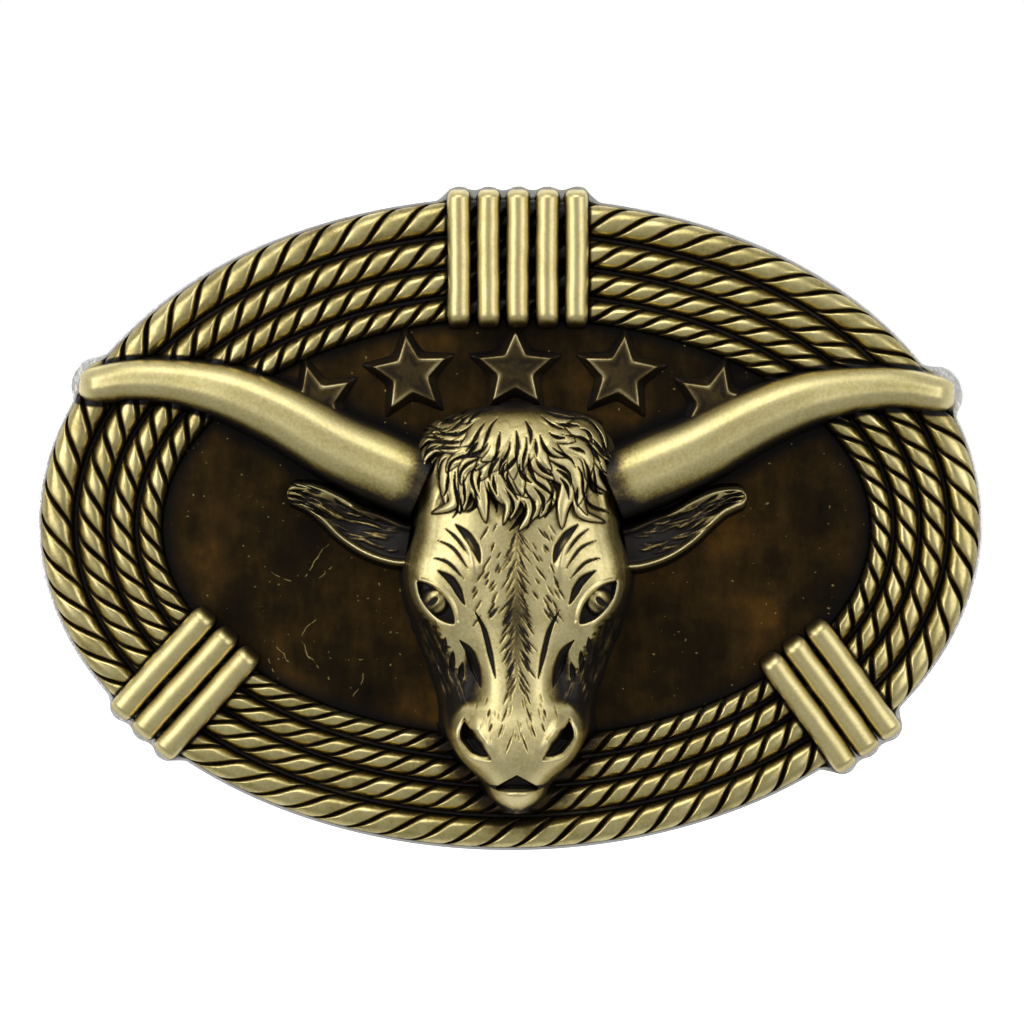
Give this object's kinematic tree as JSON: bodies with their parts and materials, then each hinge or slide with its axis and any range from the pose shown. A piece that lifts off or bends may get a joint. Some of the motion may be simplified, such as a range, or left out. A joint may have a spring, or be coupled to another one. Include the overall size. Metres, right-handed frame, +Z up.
{
  "type": "belt buckle",
  "caption": "Oval western belt buckle with rope borders, wrap bars, stars and a longhorn steer mask; hook and swinging wire bail on the back for a 38 mm strap.",
  "frame": {"origin": "centre of the flat pad on the back of the plate", "axes": "+X to the right of a person looking at the front, +Z up as worn, +Y towards the wearer"},
  "size_m": [0.098, 0.0231, 0.069],
  "materials": {
    "plate_metal": "satin cast back with a polished rim",
    "dark_field": "dark mottled antique patina",
    "rope_brass": "antique brass, blackened grooves",
    "wrap_brass": "satin antique brass",
    "star_brass": "dark antique brass with rubbed edges",
    "mask_brass": "antique brass, blackened recesses",
    "horn_brass": "brushed satin brass",
    "wire": "drawn wire, satin"
  },
  "bodies": {
    "buckle": {"base_plate": "plate_metal", "field_panel": "dark_field", "rope_outer": "rope_brass", "rope_second": "rope_brass", "rope_third": "rope_brass", "rope_inner": "rope_brass", "top_wrap_1": "wrap_brass", "top_wrap_2": "wrap_brass", "top_wrap_3": "wrap_brass", "top_wrap_4": "wrap_brass", "top_wrap_5": "wrap_brass", "left_wrap_1": "wrap_brass", "left_wrap_2": "wrap_brass", "left_wrap_3": "wrap_brass", "right_wrap_1": "wrap_brass", "right_wrap_2": "wrap_brass", "right_wrap_3": "wrap_brass", "star_1": "star_brass", "star_2": "star_brass", "star_3": "star_brass", "star_4": "star_brass", "star_5": "star_brass", "steer_head": "mask_brass", "horn_left": "horn_brass", "horn_right": "horn_brass", "ear_left": "mask_brass", "ear_right": "mask_brass", "bail_lug_upper": "plate_metal", "bail_lug_lower": "plate_metal", "hook_flange": "plate_metal", "hook_stud": "wire"},
    "bail": {"belt_bail": "wire"}
  },
  "joints": [
    {"name": "bail_swing", "type": "hinge", "parent": "buckle", "child": "bail", "pos_m": [0.021, 0.0052, 0], "axis": [0, 0, 1], "range_deg": [-12, 192]}
  ]
}
